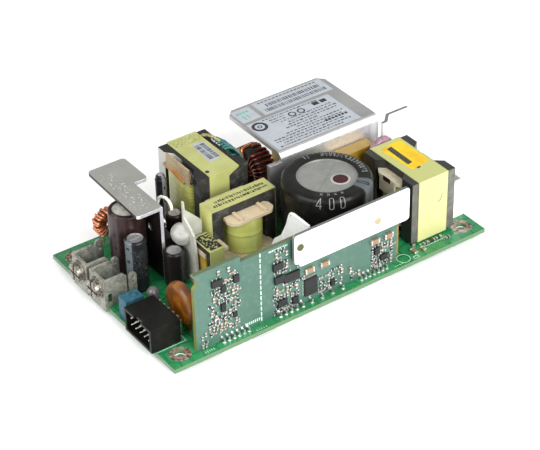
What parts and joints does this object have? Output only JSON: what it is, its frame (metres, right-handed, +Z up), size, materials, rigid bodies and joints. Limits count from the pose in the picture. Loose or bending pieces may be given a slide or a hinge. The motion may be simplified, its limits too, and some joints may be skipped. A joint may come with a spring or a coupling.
{
  "type": "open frame power supply",
  "caption": "Open frame switching power supply: bare circuit board with upright control board, folded heatsinks, wound parts, capacitors, screw terminals and connectors.",
  "frame": {"origin": "centre of the four fixing holes on the underside of the main board", "axes": "+X from the output end to the mains end, +Y to the back edge, +Z up through the board"},
  "size_m": [0.1302, 0.0762, 0.0337],
  "materials": {
    "green_board": "solder resist over glass laminate",
    "teal_board": "solder resist over glass laminate",
    "tinned": "tinned",
    "black_moulding": "moulded",
    "tan_ceramic": "fired chips",
    "bright_aluminium": "bright",
    "satin_aluminium": "satin",
    "grey_sheet": "dull",
    "brass_plate": "plated",
    "black_sleeve": "shrunk sleeve",
    "brown_sleeve": "shrunk sleeve",
    "screw_steel": "plated",
    "ferrite": "ground",
    "cream_moulding": "moulded",
    "wound_tape": "polyester tape over wire",
    "core_tape": "polyester tape",
    "teal_sleeving": "sleeving",
    "dark_copper": "enamelled wire",
    "copper": "enamelled wire",
    "powder_core": "painted",
    "amber": "dipped",
    "lilac": "dipped",
    "orange": "dipped",
    "yellow_box": "moulded",
    "white_sheet": "insulating sheet",
    "silicone": "cured",
    "terminal_plate": "tinned sheet",
    "blue_moulding": "moulded",
    "lamp_lens": "clear lens",
    "black_shroud": "moulded",
    "white_shroud": "moulded"
  },
  "bodies": {
    "root": {"main_board": "green_board", "control_board": "teal_board", "control_pins": "tinned", "control_chips": "black_moulding", "control_passives": "tan_ceramic", "front_spreader": "bright_aluminium", "front_rivets": "brass_plate", "bulk_can": "satin_aluminium", "bulk_sleeve": "black_sleeve", "output_can": "satin_aluminium", "output_sleeve": "brown_sleeve", "filter_capacitor": "black_sleeve", "supply_capacitor": "black_sleeve", "damping_capacitor": "brown_sleeve", "snubber": "black_sleeve", "main_heatsink": "satin_aluminium", "output_heatsink": "grey_sheet", "mains_heatsink": "satin_aluminium", "power_devices": "black_moulding", "device_screws": "screw_steel", "bridge_rectifier": "black_moulding", "main_core": "ferrite", "main_bobbin": "cream_moulding", "main_winding": "wound_tape", "main_tape": "core_tape", "main_lead_sleeves": "teal_sleeving", "standby_core": "ferrite", "standby_bobbin": "cream_moulding", "standby_winding": "wound_tape", "standby_tape": "core_tape", "pulse_core": "ferrite", "pulse_bobbin": "cream_moulding", "pulse_winding": "wound_tape", "pulse_tape": "core_tape", "boost_core": "ferrite", "boost_bobbin": "cream_moulding", "boost_winding": "wound_tape", "boost_tape": "core_tape", "transformer_pins": "tinned", "line_core": "ferrite", "line_winding_front": "dark_copper", "line_winding_rear": "copper", "ring_core": "powder_core", "ring_winding": "copper", "film_capacitors": "amber", "lilac_varistor": "lilac", "disc_varistor": "orange", "line_capacitor": "yellow_box", "input_fuse": "black_moulding", "insulator_sheet": "white_sheet", "silicone_bead": "silicone", "board_gusset": "white_sheet", "screw_terminals": "terminal_plate", "terminal_screws": "screw_steel", "sense_tabs": "terminal_plate", "trimmer": "blue_moulding", "indicator_lamp": "lamp_lens", "signal_header": "black_shroud", "connector_pins": "tinned", "mains_connector": "white_shroud"}
  },
  "joints": []
}
